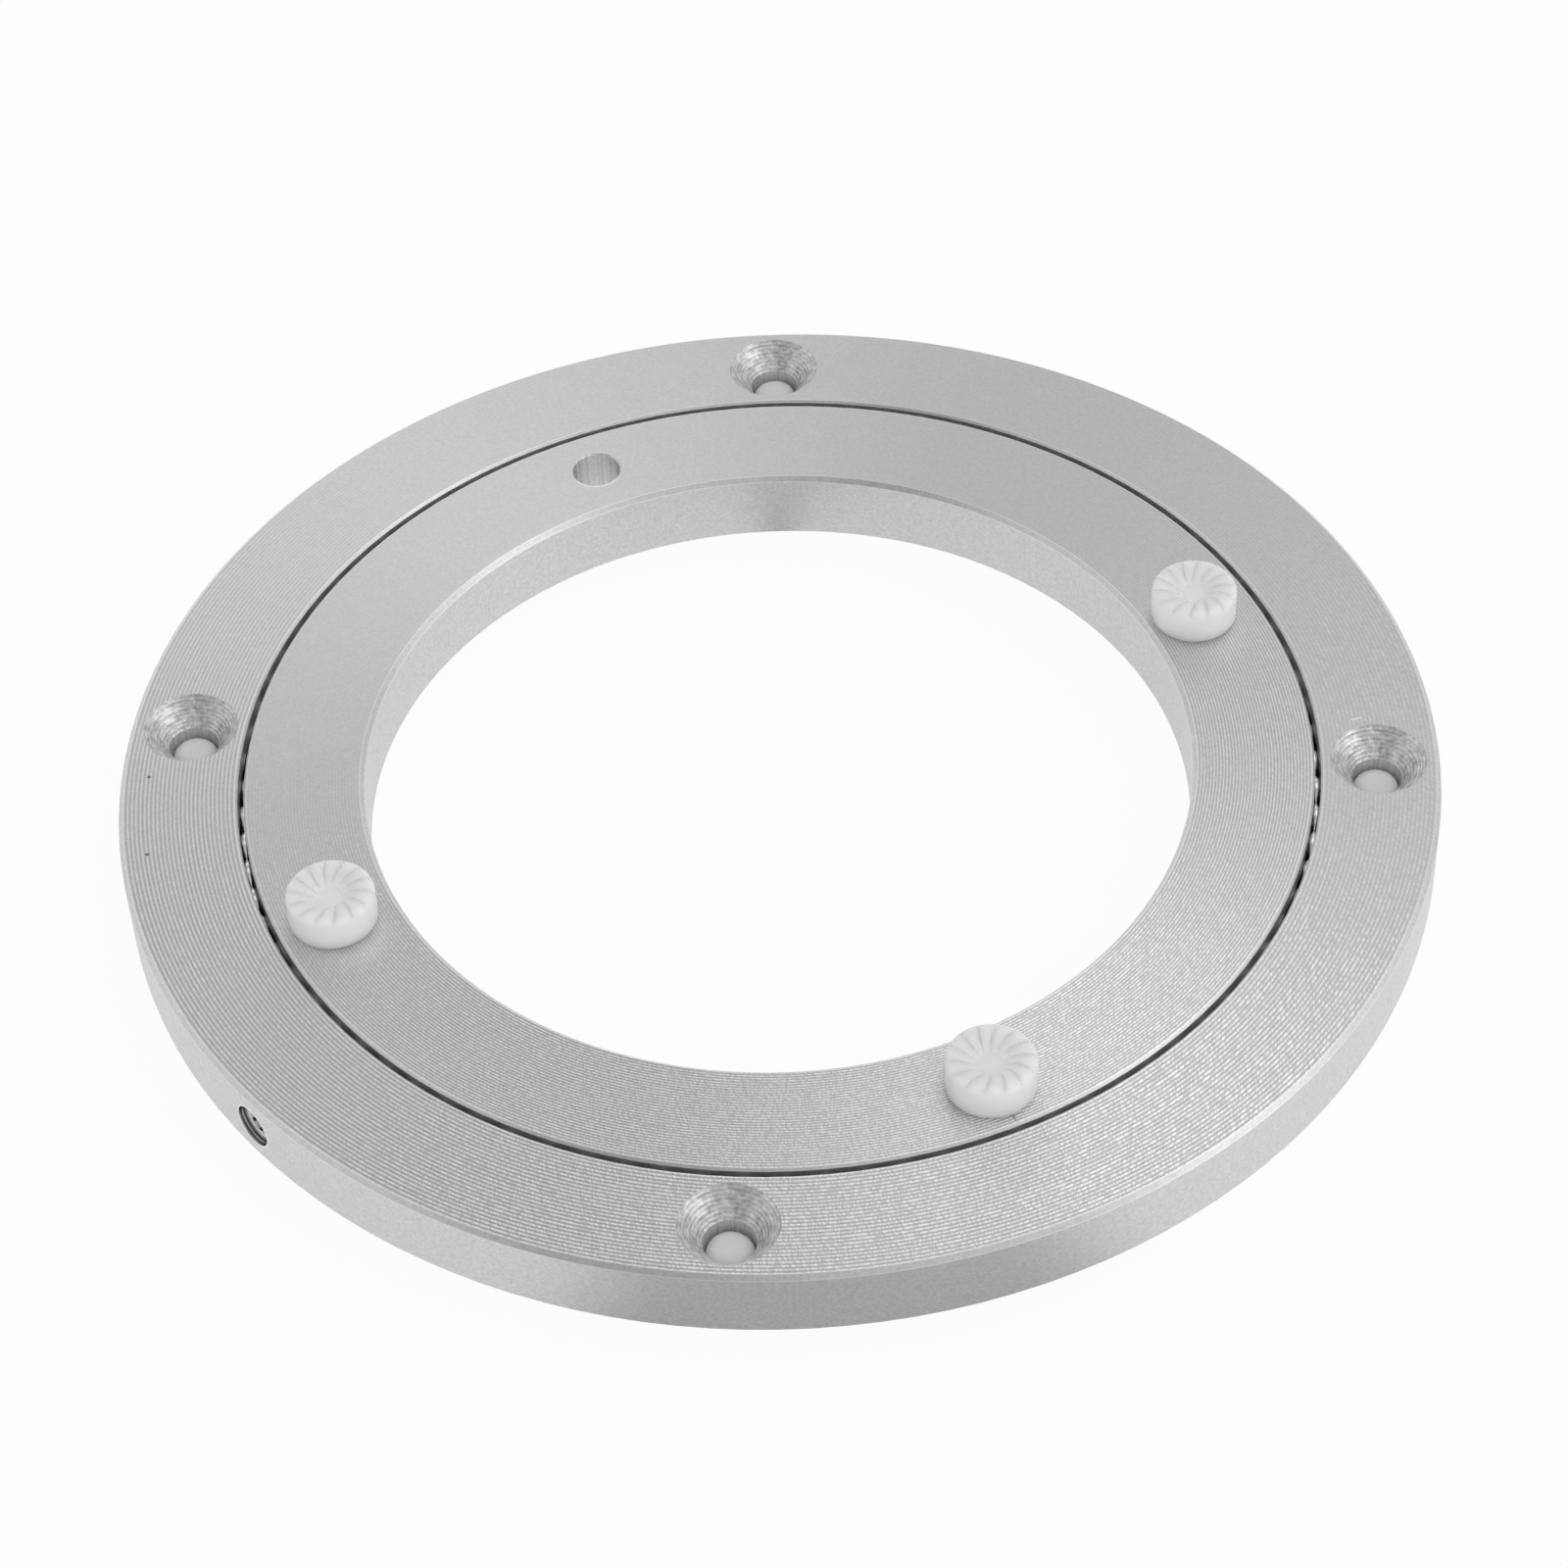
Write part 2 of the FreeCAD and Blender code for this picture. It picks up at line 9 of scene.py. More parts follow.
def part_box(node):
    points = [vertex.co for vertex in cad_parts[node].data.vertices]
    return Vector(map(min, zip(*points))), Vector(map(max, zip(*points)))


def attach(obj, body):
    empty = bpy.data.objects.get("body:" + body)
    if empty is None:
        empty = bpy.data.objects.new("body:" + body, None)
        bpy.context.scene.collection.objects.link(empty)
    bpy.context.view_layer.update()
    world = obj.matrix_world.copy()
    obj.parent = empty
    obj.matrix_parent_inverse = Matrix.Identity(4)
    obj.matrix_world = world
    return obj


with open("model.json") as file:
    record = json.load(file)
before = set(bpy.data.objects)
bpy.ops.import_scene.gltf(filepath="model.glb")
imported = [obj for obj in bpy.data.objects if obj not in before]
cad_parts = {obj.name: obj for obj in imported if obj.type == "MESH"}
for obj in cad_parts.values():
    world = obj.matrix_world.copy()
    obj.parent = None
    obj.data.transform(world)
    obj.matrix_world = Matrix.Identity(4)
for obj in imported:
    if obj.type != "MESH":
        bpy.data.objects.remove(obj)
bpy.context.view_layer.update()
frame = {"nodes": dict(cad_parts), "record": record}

MM = 0.001

# The rings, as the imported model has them
RING_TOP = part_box("outer_ring")[1].z
OUTER_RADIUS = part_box("outer_ring")[1].x
TURNING_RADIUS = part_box("inner_ring")[1].x
INNER_RING_WIDTH = 12.8 * MM
RING_GAP = 0.65 * MM
EDGE_CHAMFER = 0.5 * MM
GAP_CHAMFER = 0.25 * MM
PLUG_HOLE_RADIUS = 2.35 * MM
PLUG_SOCKET_RADIUS = 1.25 * MM
FREE_HOLE = Vector(next(m["pos_m"] for m in frame["record"]["mounts"] if m["name"] == "free_screw_hole"))

# The aluminium's own shade and fine grain; a pair of grain shades is for the sides and for the level faces
ALUMINIUM_SHADE = 0.7
FACE_LEVEL = (0.93, 0.97)
GRAINS_PER_METRE = 2600.0
GRAIN_HEIGHT = 0.006 * MM
GRAIN_SHADES = (0.36, 0.2)

# The ribs that turning left on the faces, one to a turn of the tool, with painted highlights on their ridges,
# and the side where their bumps and painted highlights are strongest
OUTER_PITCH = 0.448 * MM
INNER_PITCH = 0.34 * MM
OUTER_RIBS_AND_SHEEN_AZIMUTH = -120
INNER_RIBS_AND_SHEEN_AZIMUTH = -60
RIB_HEIGHT = 0.03 * MM
RIB_HIGHLIGHT_SHADE = 0.32
SCALLOP_MEAN = 0.33

# The beads that the tool's chatter left on the ribs, shaded as painted sparkle: each rib's row is shifted,
# and takes its own noise
CHATTER_AND_SPARKLE_AZIMUTH = -75
BEADS_PER_METRE = 3400.0
BEAD_ROW_SHIFT = 0.37 * MM
BEAD_ROW_SPACING = 7.31 * MM
BEAD_HEIGHT = 0.04 * MM
BEAD_SPARKLE_SHADES = (-0.06, 0.3)

# The rings and dents that the cutter left in the countersinks
COUNTERSINK_REACH = 5.3 * MM
CONE_MIDDLE_RADIUS = 4 * MM
CONE_RING_PITCH = 0.3 * MM
CONE_RING_HEIGHT = 0.03 * MM
CONE_RING_SHADE = 0.14
DENTS_PER_METRE = 1000.0
DENT_SQUEEZE = 2.2
DENT_HEIGHT = 0.12 * MM

# Painted highlights along the rings' edges: how far from the edge the bright line is full, and where it ends
EDGE_HIGHLIGHT_REACH = (0.03 * MM, 0.09 * MM)
EDGE_HIGHLIGHT_SHADE = 0.88

# The threaded hole of the plug: the thread's pitch and its painted shade and highlight, the width of its
# edge, and the reach of the painted highlight on its rim
THREAD_PITCH = 0.8 * MM
THREAD_PAINTED_SHADES = (0.12, 0.8)
THREAD_EDGE = 0.04 * MM
RIM_REACH = (0.1 * MM, 0.2 * MM)

# The painted highlight on the free hole's edge: its reach from the hole's axis, in front of it, and below the
# ring's top
FREE_HOLE_HIGHLIGHT_REACH = (2.9 * MM, 3.05 * MM)
FREE_HOLE_HIGHLIGHT_FRONT = (2.2 * MM, 1.4 * MM)
FREE_HOLE_HIGHLIGHT_DEPTH = (0.35 * MM, 0.2 * MM)

# A nick and two specks on the outer ring's face: where they are, and how far they reach
NICK_START = (61.25 * MM, 1.0 * MM)
NICK_END = (62.3 * MM, 1.25 * MM)
NICK_WIDTH = 0.13 * MM
SPECKS = ((-66.96 * MM, 1.01 * MM), (-66.37 * MM, -10.38 * MM))
SPECK_RADIUS = 0.26 * MM
SPECK_SHADE = 0.2

# Slivers of moulding flash on two pads
FLASH_WIDTH = 0.4 * MM
FLASH_DEPTH = 0.22 * MM
FLASH_ROOT = 0.1 * MM

# Most of a noise's values lie between these
NOISE_RANGE = (0.3, 0.7)

# The camera: where it stands, how it is aimed off the origin, and its lens in millimetres
CAMERA_DISTANCE = 455.446 * MM
CAMERA_ELEVATION = math.radians(45.929)
CAMERA_TARGET_HEIGHT = 2.5 * MM
CAMERA_YAW = math.radians(0.067)
CAMERA_PITCH = math.radians(0.296)
CAMERA_ROLL = math.radians(-2.744)
LENS = 97.127
SENSOR_WIDTH = 36.0
CLIP_START = 10 * MM

# The floor is white to the camera; for what it lights and what mirrors it, it is grey paper, as painted
# shade, with white cards to the left and the right that meet behind the bearing.
# A card's edge is where the distance aside, as a share of the depth to the corner, goes from first to last.
FLOOR_RADIUS = 4.0
CARD_CORNER = 80 * MM
CARD_OVERLAP = 5 * MM
CARD_TURN = 0.03
CARD_EDGE = (0.13, 0.27)
CARD_CLOSING = 0.16
CARD_CLOSED_AT = 30 * MM

# Greys for the painted shade of the paper and for the cards: as the floor's colour, and as how much of it
# glows in a reflection
FLOOR_SHADE_AND_CARD_COLOURS = (0.5, 0.95)
FLOOR_SHADE_AND_CARD_GLOWS = (0.25, 0.75)

# How white the camera sees the floor; the rest takes the bearing's shadow
FLOOR_WHITENESS = 0.94

# The studio's dome: its strength in front and behind, and what is added far behind and to each side
DOME_FRONT = 0.47
DOME_BACK = 0.545
DOME_FAR_BACK = 0.25
DOME_SIDE = 0.1
HORIZON = (0.04, 0.12)

# Soft boxes in the dome: direction in degrees, the angles where each is full and gone, and its gain
SOFT_BOXES = (
    {"azimuth": 180, "elevation": 20, "full": 22, "gone": 48, "gain": 0.37},
    {"azimuth": -12, "elevation": 26, "full": 20, "gone": 42, "gain": 0.37},
    {"azimuth": 30, "elevation": 69, "full": 8, "gone": 28, "gain": 0.78},
    {"azimuth": 112, "elevation": 12, "full": 12, "gone": 34, "gain": 0.35},
    {"azimuth": -80, "elevation": 38, "full": 12, "gone": 32, "gain": 0.13},
)

WHITE = (1.0, 1.0, 1.0, 1.0)
UP = (0.0, 0.0, 1.0)


class Graph:
    """The nodes of a material or the world. Each value asked for is a number, a colour or an output."""

    def __init__(self, tree):
        self.tree = tree
        self.tree.nodes.clear()

    def add(self, kind, **settings):
        """A node with its properties set."""
        node = self.tree.nodes.new(kind)
        for name, value in settings.items():
            setattr(node, name, value)
        return node

    def feed(self, node, values):
        """Set or link inputs, given by name or number."""
        for key, value in values.items():
            socket = node.inputs[key]
            if isinstance(value, bpy.types.NodeSocket):
                self.tree.links.new(value, socket)
            else:
                socket.default_value = value
        return node

    def math(self, operation, *values):
        node = self.add("ShaderNodeMath", operation=operation)
        return self.feed(node, dict(enumerate(values))).outputs[0]

    def sum(self, *values):
        total = values[0]
        for value in values[1:]:
            total = self.math("ADD", total, value)
        return total

    def product(self, *values):
        result = values[0]
        for value in values[1:]:
            result = self.math("MULTIPLY", result, value)
        return result

    def vector(self, operation, *values):
        node = self.add("ShaderNodeVectorMath", operation=operation)
        gives_number = operation in ("LENGTH", "DISTANCE", "DOT_PRODUCT")
        return self.feed(node, dict(enumerate(values))).outputs["Value" if gives_number else "Vector"]

    def split(self, vector):
        return self.feed(self.add("ShaderNodeSeparateXYZ"), {0: vector}).outputs[:3]

    def join(self, x, y, z):
        return self.feed(self.add("ShaderNodeCombineXYZ"), {0: x, 1: y, 2: z}).outputs[0]

    def step(self, value, start, end, low=0.0, high=1.0):
        """A smooth change from low to high as the value goes from start to end."""
        node = self.add("ShaderNodeMapRange", interpolation_type="SMOOTHSTEP")
        return self.feed(node, {0: value, 1: start, 2: end, 3: low, 4: high}).outputs[0]

    def noise(self, vector, scale, detail=2.0, roughness=0.5):
        settings = {"Vector": vector, "Scale": scale, "Detail": detail, "Roughness": roughness}
        return self.feed(self.add("ShaderNodeTexNoise"), settings).outputs[0]

    def blend(self, factor, first, second):
        """A number that goes from the first to the second as the factor goes from 0 to 1."""
        node = self.add("ShaderNodeMix", data_type="FLOAT")
        return self.feed(node, {0: factor, 2: first, 3: second}).outputs[0]

    def blend_vector(self, factor, first, second):
        """A vector that goes from the first to the second as the factor goes from 0 to 1."""
        node = self.add("ShaderNodeMix", data_type="VECTOR")
        return self.feed(node, {0: factor, 4: first, 5: second}).outputs[1]

    def grey(self, value):
        return self.feed(self.add("ShaderNodeCombineColor"), {0: value, 1: value, 2: value}).outputs[0]

    def bump(self, height):
        """The shading normal over a height in metres."""
        settings = {"Strength": 1.0, "Distance": 1.0, "Height": height}
        return self.feed(self.add("ShaderNodeBump"), settings).outputs[0]


def new_material(name):
    """An empty node material and its graph."""
    material = bpy.data.materials.new(name)
    material.use_nodes = True
    return material, Graph(material.node_tree)


def finish_material(graph, values):
    """Put a Principled shader with these inputs on the surface."""
    shader = graph.feed(graph.add("ShaderNodeBsdfPrincipled"), values)
    output = graph.add("ShaderNodeOutputMaterial")
    graph.tree.links.new(shader.outputs[0], output.inputs["Surface"])


def middle(node):
    """The middle of a node's box."""
    low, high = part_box(node)
    return (low + high) / 2


def on_floor(point):
    """The place under a point, at height 0."""
    return (point.x, point.y, 0.0)


def direction_of(azimuth, elevation=0):
    """The unit vector towards an azimuth and elevation in degrees."""
    turn = math.radians(azimuth)
    tilt = math.radians(elevation)
    return (math.cos(tilt) * math.cos(turn), math.cos(tilt) * math.sin(turn), math.sin(tilt))


def scallops(g, distance, pitch):
    """The ridges a turning tool leaves: a row of shallow hollows, from 0 at the bottom to 1 on the ridge."""
    offset = g.math("SUBTRACT", g.math("FRACT", g.math("DIVIDE", distance, pitch)), 0.5)
    return g.product(offset, offset, 4.0)


def nearest_centre(g, flat, centres):
    """The distance to the nearest of some centres, and the vector from it."""
    nearest = g.vector("DISTANCE", flat, centres[0])
    spoke = g.vector("SUBTRACT", flat, centres[0])
    for centre in centres[1:]:
        distance = g.vector("DISTANCE", flat, centre)
        nearer = g.math("LESS_THAN", distance, nearest)
        nearest = g.math("MINIMUM", nearest, distance)
        spoke = g.blend_vector(nearer, spoke, g.vector("SUBTRACT", flat, centre))
    return nearest, spoke


def round_arc(g, flat, radius):
    """The distance round an axis at a radius, counted from the front."""
    x, y, z = g.split(flat)
    return g.math("MULTIPLY", g.math("ARCTAN2", x, g.math("MULTIPLY", y, -1.0)), radius)


def facing_towards(g, flat, radius, azimuth):
    """How far a place lies on a side of the ring: 1 at the azimuth, 0 a quarter turn from it, -1 opposite."""
    return g.math("DIVIDE", g.vector("DOT_PRODUCT", flat, direction_of(azimuth)), radius)


def tool_path(g, spoke):
    """The way the tool's marks run, across a spoke from the centre that they go round."""
    groove = g.vector("CROSS_PRODUCT", UP, spoke)
    turn = g.add("ShaderNodeVectorTransform", vector_type="VECTOR", convert_from="OBJECT", convert_to="WORLD")
    return g.vector("NORMALIZE", g.feed(turn, {0: groove}).outputs[0])


def bead_and_sparkle_rows(g, flat, radius, pitch, ribs):
    """Beads along each rib, for their bumps and their painted sparkle: from 0 between them to 1 on the
    brightest.
    """
    rib_number = g.math("ROUND", g.math("DIVIDE", radius, pitch))
    along = g.sum(round_arc(g, flat, radius), g.product(rib_number, BEAD_ROW_SHIFT))
    row = g.join(along, g.product(rib_number, BEAD_ROW_SPACING), 0.0)
    beads = g.step(g.noise(row, BEADS_PER_METRE, 1.0), 0.33, 0.67)
    return g.product(beads, g.math("SQRT", ribs))


def lathe_marks(g, flat, radius, pitch, ribs_and_sheen_azimuth):
    """The height of a face's ribs and beads, and their shade, which is painted highlight and sparkle."""
    ribs = scallops(g, radius, pitch)
    ribbing_and_sheen = g.step(facing_towards(g, flat, radius, ribs_and_sheen_azimuth), -0.5, 0.5, 0.1, 1.0)

    # The beads' bumps and painted sparkle are strongest at the front, a little to its right, and weakest at
    # the back
    forward = facing_towards(g, flat, radius, CHATTER_AND_SPARKLE_AZIMUTH)
    chatter_and_sparkle = g.product(g.step(forward, 0.45, 0.93, 0.3, 1.0), g.step(forward, -0.32, 0.1, 0.1, 1.0))
    beads = bead_and_sparkle_rows(g, flat, radius, pitch, ribs)

    height = g.sum(g.product(ribbing_and_sheen, ribs, RIB_HEIGHT), g.product(chatter_and_sparkle, beads, BEAD_HEIGHT))
    # Painted highlights on the ribs' ridges, and painted sparkle on the beads
    rib_highlight = g.product(ribbing_and_sheen, g.math("SUBTRACT", ribs, SCALLOP_MEAN), RIB_HIGHLIGHT_SHADE)
    bead_sparkle = g.product(chatter_and_sparkle, g.step(beads, 0.1, 0.85, *BEAD_SPARKLE_SHADES))
    return height, g.sum(rib_highlight, bead_sparkle)


def cutter_marks(g, distance, spoke):
    """The height and the shade of the rings and dents in a countersink."""
    arc = round_arc(g, spoke, CONE_MIDDLE_RADIUS)
    dents = g.noise(g.join(g.product(distance, DENT_SQUEEZE), arc, 0.0), DENTS_PER_METRE, 2.0, 0.6)
    rings = scallops(g, distance, CONE_RING_PITCH)
    height = g.sum(g.product(rings, CONE_RING_HEIGHT), g.product(dents, DENT_HEIGHT))
    ring_shade = g.product(g.math("SUBTRACT", rings, SCALLOP_MEAN), CONE_RING_SHADE)
    return height, g.sum(g.math("SUBTRACT", dents, 0.5), ring_shade)


def edge_highlights(g, radius, z, edges):
    """Where a painted highlight runs round a ring's edge, from pairs of radius and height."""
    nearest = 1.0
    section = g.join(radius, z, 0.0)
    for edge_radius, edge_height in edges:
        distance = g.vector("DISTANCE", section, (edge_radius, edge_height, 0.0))
        nearest = g.math("MINIMUM", nearest, distance)
    return g.step(nearest, *EDGE_HIGHLIGHT_REACH, 1.0, 0.0)


def nick(g, flat):
    """Where the bright nick is."""
    start = Vector((*NICK_START, 0.0))
    end = Vector((*NICK_END, 0.0))
    along = (end - start).normalized()
    across = Vector((-along.y, along.x, 0.0))
    offset = g.vector("SUBTRACT", flat, tuple((start + end) / 2))
    reach = g.math("ABSOLUTE", g.vector("DOT_PRODUCT", offset, tuple(along)))
    overshoot = g.math("MAXIMUM", g.math("SUBTRACT", reach, (end - start).length / 2), 0.0)
    aside = g.vector("DOT_PRODUCT", offset, tuple(across))
    distance = g.vector("LENGTH", g.join(overshoot, aside, 0.0))
    return g.step(distance, NICK_WIDTH / 2, NICK_WIDTH, 1.0, 0.0)


def specks(g, flat):
    """Where the dark specks are."""
    nearest = 1.0
    for speck in SPECKS:
        nearest = g.math("MINIMUM", nearest, g.vector("DISTANCE", flat, (*speck, 0.0)))
    return g.step(nearest, SPECK_RADIUS / 2, SPECK_RADIUS, 1.0, 0.0)


def plug_hole(g, place):
    """The distance from the plug's axis on the plug's own side, and the distance along that axis."""
    centre = middle("loading_plug")
    outward = Vector(on_floor(centre)).normalized()
    sideways = Vector((-outward.y, outward.x, 0.0))
    offset = g.vector("SUBTRACT", place, tuple(centre))
    along = g.vector("DOT_PRODUCT", offset, tuple(outward))
    aside = g.vector("DOT_PRODUCT", offset, tuple(sideways))
    distance = g.vector("LENGTH", g.join(aside, g.split(offset)[2], 0.0))
    far_side = g.math("LESS_THAN", along, -OUTER_RADIUS / 2)
    return g.math("ADD", distance, far_side), along


def free_hole_highlight(g, place):
    """Where a painted highlight lies on the front of the free hole's edge."""
    x, y, z = g.split(place)
    distance = g.vector("DISTANCE", g.join(x, y, 0.0), on_floor(FREE_HOLE))
    near = g.step(distance, *FREE_HOLE_HIGHLIGHT_REACH, 1.0, 0.0)
    in_front = g.step(y, FREE_HOLE.y - FREE_HOLE_HIGHLIGHT_FRONT[0], FREE_HOLE.y - FREE_HOLE_HIGHLIGHT_FRONT[1], 1.0, 0.0)
    on_top = g.step(z, RING_TOP - FREE_HOLE_HIGHLIGHT_DEPTH[0], RING_TOP - FREE_HOLE_HIGHLIGHT_DEPTH[1])
    return g.product(near, in_front, on_top)


def outer_ring_marks(g, place, flat, shade):
    """The outer ring's shade with its nick, its specks, and painted shade and highlights in and round the
    plug's threaded hole.
    """
    shade = g.blend(nick(g, flat), shade, 1.0)
    shade = g.blend(specks(g, flat), shade, SPECK_SHADE)
    distance, along = plug_hole(g, place)
    # The thread is painted dark with highlights; both flanks of the thread catch the light, so its lines are
    # half a pitch apart
    thread = scallops(g, along, THREAD_PITCH / 2)
    in_thread = g.step(distance, PLUG_HOLE_RADIUS, PLUG_HOLE_RADIUS + THREAD_EDGE, 1.0, 0.0)
    shade = g.blend(in_thread, shade, g.blend(thread, *THREAD_PAINTED_SHADES))
    # A painted highlight round the hole's rim
    rim = g.step(distance, PLUG_HOLE_RADIUS + RIM_REACH[0], PLUG_HOLE_RADIUS + RIM_REACH[1], 1.0, 0.0)
    return g.blend(g.math("SUBTRACT", rim, in_thread), shade, 1.0)


def inner_ring_marks(g, place, flat, shade):
    """The inner ring's shade with a painted highlight at its free hole."""
    return g.blend(free_hole_highlight(g, place), shade, 1.0)


def aluminium(name, centres, edges, pitch, ribs_and_sheen_azimuth, own_marks):
    """Turned aluminium, with lathe marks on the faces whose shade is partly painted highlight and sparkle,
    cutter marks in the countersinks, and painted highlights on its edges.
    """
    material, g = new_material(name)
    coordinates = g.add("ShaderNodeTexCoord")
    place = coordinates.outputs["Object"]
    x, y, z = g.split(place)
    flat = g.join(x, y, 0.0)
    radius = g.vector("LENGTH", flat)
    level = g.math("ABSOLUTE", g.split(coordinates.outputs["Normal"])[2])
    faces = g.step(level, *FACE_LEVEL)
    nearest, spoke = nearest_centre(g, flat, centres)
    near_hole = g.math("LESS_THAN", nearest, COUNTERSINK_REACH)
    in_hole = g.product(near_hole, g.math("SUBTRACT", 1.0, faces))

    lathe_height, lathe_highlights = lathe_marks(g, flat, radius, pitch, ribs_and_sheen_azimuth)
    cone_height, cone_shade = cutter_marks(g, nearest, spoke)
    grain = g.noise(place, GRAINS_PER_METRE, 3.0, 0.6)
    height = g.sum(g.product(faces, lathe_height), g.product(grain, GRAIN_HEIGHT))
    height = g.blend(in_hole, height, cone_height)

    grain_shade = g.product(g.math("SUBTRACT", grain, 0.5), g.blend(faces, *GRAIN_SHADES))
    # The lathe marks' shade is painted highlight and sparkle
    marks_shade = g.sum(g.product(faces, lathe_highlights), g.product(in_hole, cone_shade), grain_shade)
    shade = g.math("MINIMUM", g.sum(ALUMINIUM_SHADE, marks_shade), 1.0)
    # A painted highlight along each chamfered edge
    shade = g.blend(edge_highlights(g, radius, z, edges), shade, EDGE_HIGHLIGHT_SHADE)
    finish_material(g, {
        "Base Color": g.grey(own_marks(g, place, flat, shade)),
        "Metallic": 1.0,
        "Roughness": 0.4,
        "Anisotropic": 0.75,
        "Anisotropic Rotation": 0.25,
        "Tangent": tool_path(g, g.blend_vector(in_hole, flat, spoke)),
        "Normal": g.bump(height),
    })
    return material


def outer_ring_look():
    """The outer ring's aluminium, whose countersinks are over the feet."""
    centres = [on_floor(middle(f"foot_{side}")) for side in ("right", "back", "left", "front")]
    edges = [
        (OUTER_RADIUS - EDGE_CHAMFER, RING_TOP),
        (OUTER_RADIUS, RING_TOP - EDGE_CHAMFER),
        (TURNING_RADIUS + RING_GAP + GAP_CHAMFER, RING_TOP),
    ]
    return aluminium("aluminium_outer", centres, edges, OUTER_PITCH, OUTER_RIBS_AND_SHEEN_AZIMUTH, outer_ring_marks)


def inner_ring_look():
    """The inner ring's aluminium, whose holes are under the pads, with one free."""
    centres = [on_floor(middle(f"top_pad_{side}")) for side in ("right", "left", "front")]
    centres.append(on_floor(FREE_HOLE))
    bore_radius = TURNING_RADIUS - INNER_RING_WIDTH
    edges = [
        (TURNING_RADIUS - GAP_CHAMFER, RING_TOP),
        (TURNING_RADIUS, RING_TOP - GAP_CHAMFER),
        (bore_radius + EDGE_CHAMFER, RING_TOP),
        (bore_radius, RING_TOP - EDGE_CHAMFER),
    ]
    return aluminium("aluminium_inner", centres, edges, INNER_PITCH, INNER_RIBS_AND_SHEEN_AZIMUTH, inner_ring_marks)


def ball_steel():
    """Polished bearing steel with a faint variation in its polish."""
    material, g = new_material("ball_steel_polished")
    place = g.add("ShaderNodeTexCoord").outputs["Object"]
    finish_material(g, {
        "Base Color": (0.78, 0.78, 0.79, 1.0),
        "Metallic": 1.0,
        "Roughness": g.step(g.noise(place, 900.0), *NOISE_RANGE, 0.05, 0.12),
    })
    return material


def plug_steel():
    """The grub screw's plated steel, with painted shade in its socket."""
    material, g = new_material("plug_steel_plated")
    place = g.add("ShaderNodeTexCoord").outputs["Object"]
    plating = g.step(g.noise(place, 1500.0, 3.0), *NOISE_RANGE, 0.85, 1.0)
    # Painted shade inside the hex socket
    socket = g.step(plug_hole(g, place)[0], PLUG_SOCKET_RADIUS, PLUG_SOCKET_RADIUS + 0.05 * MM, 0.04, 1.0)
    finish_material(g, {
        "Base Color": g.grey(g.product(plating, socket)),
        "Metallic": 0.4,
        "Roughness": 0.5,
        "Normal": g.bump(g.product(g.noise(place, 3000.0), 0.02 * MM)),
    })
    return material


def white_plastic():
    """Soft white moulded plastic, which lets light in."""
    material, g = new_material("white_plastic_moulded")
    place = g.add("ShaderNodeTexCoord").outputs["Object"]
    finish_material(g, {
        "Base Color": g.grey(g.step(g.noise(place, 300.0, 3.0), *NOISE_RANGE, 0.88, 0.92)),
        "Roughness": g.step(g.noise(place, 1200.0), *NOISE_RANGE, 0.42, 0.52),
        "Subsurface Weight": 1.0,
        "Subsurface Radius": (1.0, 1.0, 1.0),
        "Subsurface Scale": 4 * MM,
        "Normal": g.bump(g.product(g.noise(place, 1800.0, 3.0), 0.006 * MM)),
    })
    return material


def paint_nodes():
    """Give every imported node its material."""
    looks = {"outer_ring": outer_ring_look(), "inner_ring": inner_ring_look(), "loading_plug": plug_steel()}
    plastic = white_plastic()
    steel = ball_steel()
    for name, node in frame["nodes"].items():
        if name.startswith("ball_pair"):
            look = steel
        elif name.startswith(("top_pad", "foot")):
            look = plastic
        else:
            look = looks[name]
        for slot in node.material_slots:
            slot.material = look


def ray_kinds(g):
    """1 for a ray from the camera or through something clear, then 1 for a ray that is a reflection."""
    rays = g.add("ShaderNodeLightPath").outputs
    return g.math("MAXIMUM", rays["Is Camera Ray"], rays["Is Transmission Ray"]), rays["Is Glossy Ray"]


def add_floor():
    """A floor, white to the camera, that still takes the bearing's shadow; its paper is painted shade for
    what it lights and what mirrors it.
    """
    bpy.ops.mesh.primitive_circle_add(vertices=96, radius=FLOOR_RADIUS, fill_type="NGON")
    floor = bpy.context.object
    floor.name = "floor"
    material, g = new_material("floor_white")

    x, y, z = g.split(g.add("ShaderNodeTexCoord").outputs["Object"])
    depth = g.math("MAXIMUM", g.math("SUBTRACT", CARD_CORNER, y), MM)
    aside = g.math("ABSOLUTE", g.math("SUBTRACT", g.math("DIVIDE", x, depth), CARD_TURN))
    closing = g.step(y, 0.0, CARD_CLOSED_AT, 0.0, CARD_CLOSING)
    behind = g.math("GREATER_THAN", y, CARD_CORNER - CARD_OVERLAP)
    side = g.sum(behind, closing, aside)

    direct, mirrored = ray_kinds(g)
    # The camera sees paper and cards alike; only what is lit by them or mirrors them sees the paper's painted
    # shade
    colour = g.blend(direct, g.step(side, *CARD_EDGE, *FLOOR_SHADE_AND_CARD_COLOURS), FLOOR_SHADE_AND_CARD_COLOURS[1])
    white = g.math("MAXIMUM", direct, g.product(mirrored, g.step(side, *CARD_EDGE, *FLOOR_SHADE_AND_CARD_GLOWS)))
    surface = g.feed(g.add("ShaderNodeBsdfDiffuse"), {"Color": g.grey(colour)})
    glow = g.feed(g.add("ShaderNodeEmission"), {"Color": WHITE, "Strength": 1.0})
    mix = g.add("ShaderNodeMixShader")
    g.feed(mix, {0: g.product(white, FLOOR_WHITENESS), 1: surface.outputs[0], 2: glow.outputs[0]})
    output = g.add("ShaderNodeOutputMaterial")
    g.tree.links.new(mix.outputs[0], output.inputs["Surface"])
    floor.data.materials.append(material)


